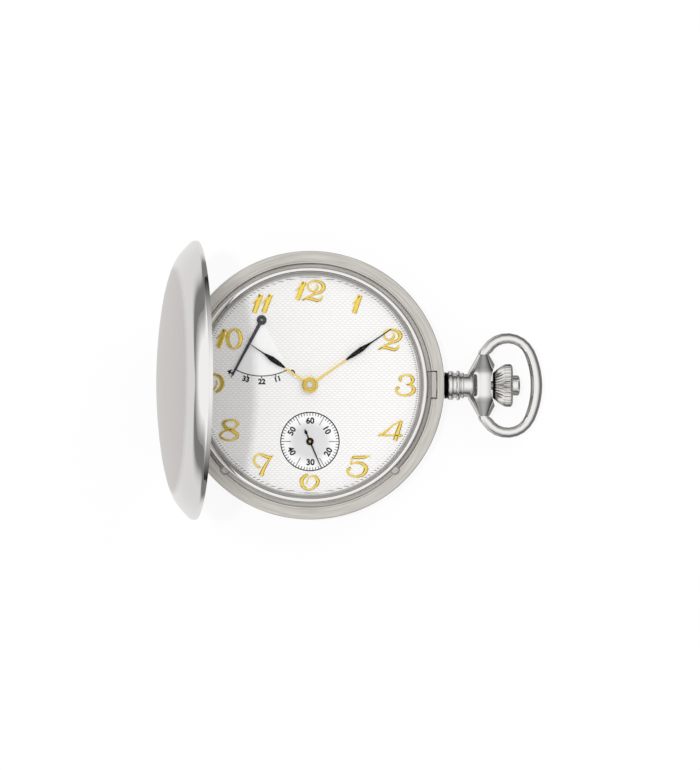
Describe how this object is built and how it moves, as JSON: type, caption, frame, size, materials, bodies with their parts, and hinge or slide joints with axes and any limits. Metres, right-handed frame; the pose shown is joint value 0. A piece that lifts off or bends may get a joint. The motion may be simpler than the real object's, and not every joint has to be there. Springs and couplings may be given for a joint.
{
  "type": "full hunter pocket watch",
  "caption": "Hand-wound full hunter pocket watch with a sprung front cover, dial with small seconds and power reserve, fluted crown with a push-button, and a swinging bow.",
  "frame": {"origin": "centre of the flat on the back cover that the watch rests on", "axes": "+Z leaves the dial towards the reader, +X runs from the centre out through the crown, +Y points to 12 on the dial"},
  "size_m": [0.0697, 0.049, 0.0558],
  "materials": {
    "satin_case": "satin",
    "polished_case": "polished",
    "polished_steel": "polished",
    "spring_steel": "satin",
    "blued_steel": "blued",
    "gilt_brass": "gilt",
    "nickelled_plate": "nickel plated",
    "silvered_dial": "silvered",
    "flange_silver": "silvered",
    "gold_hand": "gilt",
    "black_hand": "black",
    "grey_hand": "grey",
    "ruby": "polished",
    "gasket": "matt",
    "glass": "clear"
  },
  "bodies": {
    "case": {"case_band": "satin_case", "back_cover": "satin_case", "hinge_pin": "polished_steel", "bezel": "polished_case", "crystal": "glass", "crystal_gasket": "gasket", "rehaut": "flange_silver", "lift_spring": "spring_steel", "spring_screws": "polished_steel", "pendant": "polished_case", "pendant_tube": "gilt_brass", "casing_ring": "gilt_brass", "casing_screws": "polished_steel", "main_plate": "nickelled_plate", "barrel_bridge": "nickelled_plate", "train_bridge": "nickelled_plate", "balance_cock": "nickelled_plate", "pallet_bridge": "nickelled_plate", "bridge_screws": "blued_steel", "jewels": "ruby", "crown_wheel_screw": "blued_steel", "click_spring": "spring_steel", "dial": "silvered_dial"},
    "front_cover": {"front_cover": "satin_case"},
    "bow": {"bow": "polished_case"},
    "winding_pinion": {"winding_pinion": "polished_steel"},
    "crown": {"winding_stem": "polished_steel", "crown": "polished_case", "button_spring": "spring_steel"},
    "crown_button": {"crown_button": "polished_case"},
    "sliding_clutch": {"sliding_clutch": "polished_steel"},
    "push_collar": {"push_collar": "gilt_brass"},
    "lock_spring": {"lock_spring": "spring_steel"},
    "crown_wheel": {"crown_wheel": "polished_steel"},
    "ratchet": {"barrel_arbor": "polished_steel", "ratchet_wheel": "polished_steel", "ratchet_screw": "blued_steel"},
    "click": {"click": "polished_steel"},
    "setting_lever": {"setting_lever": "polished_steel"},
    "yoke": {"yoke": "polished_steel"},
    "fourth_wheel": {"fourth_wheel": "gilt_brass", "seconds_hand": "black_hand"},
    "third_wheel": {"third_wheel": "gilt_brass"},
    "centre_wheel": {"centre_wheel": "gilt_brass"},
    "barrel": {"barrel_drum": "gilt_brass", "barrel_cover": "gilt_brass", "mainspring": "spring_steel"},
    "escape_wheel": {"escape_wheel": "polished_steel"},
    "pallet_fork": {"pallet_fork": "polished_steel"},
    "balance": {"balance_wheel": "gilt_brass", "hairspring": "blued_steel"},
    "regulator": {"regulator": "polished_steel"},
    "cannon_pinion": {"cannon_pinion": "polished_steel", "minute_hand": "gold_hand"},
    "minute_wheel": {"minute_wheel": "gilt_brass"},
    "hour_wheel": {"hour_wheel": "gilt_brass", "hour_hand": "gold_hand"},
    "power_reserve": {"reserve_hand": "grey_hand", "reserve_wheel": "gilt_brass"}
  },
  "joints": [
    {"name": "lid_hinge", "type": "hinge", "parent": "case", "child": "front_cover", "pos_m": [-0.0237, 0, 0.00825], "axis": [0, -1, 0], "range_deg": [-80, 0], "stiffness_Nm_per_rad": 0.004, "springref_deg": 34.38},
    {"name": "bow_swing", "type": "hinge", "parent": "case", "child": "bow", "pos_m": [0.0317, 0, 0.0054], "axis": [0, 1, 0], "range_deg": [-100, 100]},
    {"name": "crown_turn", "type": "hinge", "parent": "case", "child": "winding_pinion", "pos_m": [0.01407, 0, 0.0054], "axis": [1, 0, 0], "continuous": true},
    {"name": "crown_pull", "type": "slide", "parent": "winding_pinion", "child": "crown", "axis": [1, 0, 0], "range_m": [0, 0.0007]},
    {"name": "button_press", "type": "slide", "parent": "crown", "child": "crown_button", "axis": [1, 0, 0], "range_m": [-0.0006, 0], "stiffness_N_per_m": 400, "springref_m": 0.0008, "deforming": ["button_spring"]},
    {"name": "clutch_slide", "type": "slide", "parent": "winding_pinion", "child": "sliding_clutch", "axis": [1, 0, 0], "range_m": [-0.0007, 0]},
    {"name": "collar_slide", "type": "slide", "parent": "case", "child": "push_collar", "axis": [1, 0, 0], "range_m": [-0.0006, 0]},
    {"name": "lock_flex", "type": "hinge", "parent": "case", "child": "lock_spring", "pos_m": [0.01545, -0.01545, 0.0054], "axis": [0, 0, 1], "range_deg": [0, 1.72]},
    {"name": "crown_wheel_turn", "type": "hinge", "parent": "case", "child": "crown_wheel", "pos_m": [0.01157, 0, 0.00255], "axis": [0, 0, 1], "continuous": true},
    {"name": "ratchet_turn", "type": "hinge", "parent": "case", "child": "ratchet", "pos_m": [0.00579, 0.00689, 0.00255], "axis": [0, 0, 1], "continuous": true},
    {"name": "click_rock", "type": "hinge", "parent": "case", "child": "click", "pos_m": [-0.00019, 0.01034, 0.00255], "axis": [0, 0, 1], "range_deg": [0, 8], "stiffness_Nm_per_rad": 0.0004, "springref_deg": -5.73},
    {"name": "setting_lever_turn", "type": "hinge", "parent": "case", "child": "setting_lever", "pos_m": [0.01672, -0.0039, 0.0067], "axis": [0, 0, 1], "range_deg": [-10.3, 0]},
    {"name": "yoke_turn", "type": "hinge", "parent": "case", "child": "yoke", "pos_m": [0.01292, 0.0052, 0.0067], "axis": [0, 0, 1], "range_deg": [-7.72, 0]},
    {"name": "seconds_turn", "type": "hinge", "parent": "case", "child": "fourth_wheel", "pos_m": [0, -0.0103, 0.00355], "axis": [0, 0, 1], "continuous": true},
    {"name": "third_wheel_turn", "type": "hinge", "parent": "case", "child": "third_wheel", "pos_m": [0.00289, -0.0061, 0.00355], "axis": [0, 0, 1], "continuous": true},
    {"name": "centre_wheel_turn", "type": "hinge", "parent": "case", "child": "centre_wheel", "pos_m": [0, 0, 0.00355], "axis": [0, 0, 1], "continuous": true},
    {"name": "barrel_turn", "type": "hinge", "parent": "case", "child": "barrel", "pos_m": [0.00579, 0.00689, 0.00355], "axis": [0, 0, 1], "continuous": true},
    {"name": "escape_wheel_turn", "type": "hinge", "parent": "case", "child": "escape_wheel", "pos_m": [-0.00433, -0.00954, 0.00355], "axis": [0, 0, 1], "continuous": true},
    {"name": "pallet_rock", "type": "hinge", "parent": "case", "child": "pallet_fork", "pos_m": [-0.00655, -0.00767, 0.00355], "axis": [0, 0, 1], "range_deg": [-5, 5]},
    {"name": "balance_swing", "type": "hinge", "parent": "case", "child": "balance", "pos_m": [-0.00954, -0.00516, 0.00355], "axis": [0, 0, 1], "range_deg": [-270, 270], "stiffness_Nm_per_rad": 0.0000008, "deforming": ["hairspring"]},
    {"name": "regulator_turn", "type": "hinge", "parent": "case", "child": "regulator", "pos_m": [-0.00954, -0.00516, 0.00255], "axis": [0, 0, 1], "range_deg": [-20, 20]},
    {"name": "minute_turn", "type": "hinge", "parent": "case", "child": "cannon_pinion", "pos_m": [0, 0, 0.0067], "axis": [0, 0, 1], "continuous": true},
    {"name": "minute_wheel_turn", "type": "hinge", "parent": "case", "child": "minute_wheel", "pos_m": [0.00338, -0.00123, 0.0067], "axis": [0, 0, 1], "continuous": true},
    {"name": "hour_turn", "type": "hinge", "parent": "case", "child": "hour_wheel", "pos_m": [0, 0, 0.0067], "axis": [0, 0, 1], "continuous": true},
    {"name": "reserve_turn", "type": "hinge", "parent": "case", "child": "power_reserve", "pos_m": [-0.0088, 0.01184, 0.0067], "axis": [0, 0, 1], "range_deg": [0, 57]}
  ],
  "couplings": [
    {"joint": "clutch_slide", "follows": "crown_pull", "ratio": -1},
    {"joint": "setting_lever_turn", "follows": "crown_pull", "rad_per_m": -256.76},
    {"joint": "yoke_turn", "follows": "crown_pull", "rad_per_m": -192.45},
    {"joint": "collar_slide", "follows": "button_press", "ratio": 1},
    {"joint": "lock_flex", "follows": "button_press", "rad_per_m": -50},
    {"joint": "crown_wheel_turn", "follows": "crown_turn", "ratio": 0.61111},
    {"joint": "ratchet_turn", "follows": "crown_turn", "ratio": -0.40741},
    {"joint": "third_wheel_turn", "follows": "seconds_turn", "ratio": -0.13333},
    {"joint": "centre_wheel_turn", "follows": "seconds_turn", "ratio": 0.016667},
    {"joint": "barrel_turn", "follows": "seconds_turn", "ratio": -0.0020833},
    {"joint": "escape_wheel_turn", "follows": "seconds_turn", "ratio": -10},
    {"joint": "minute_wheel_turn", "follows": "minute_turn", "ratio": -0.33333},
    {"joint": "hour_turn", "follows": "minute_turn", "ratio": 0.083333}
  ]
}
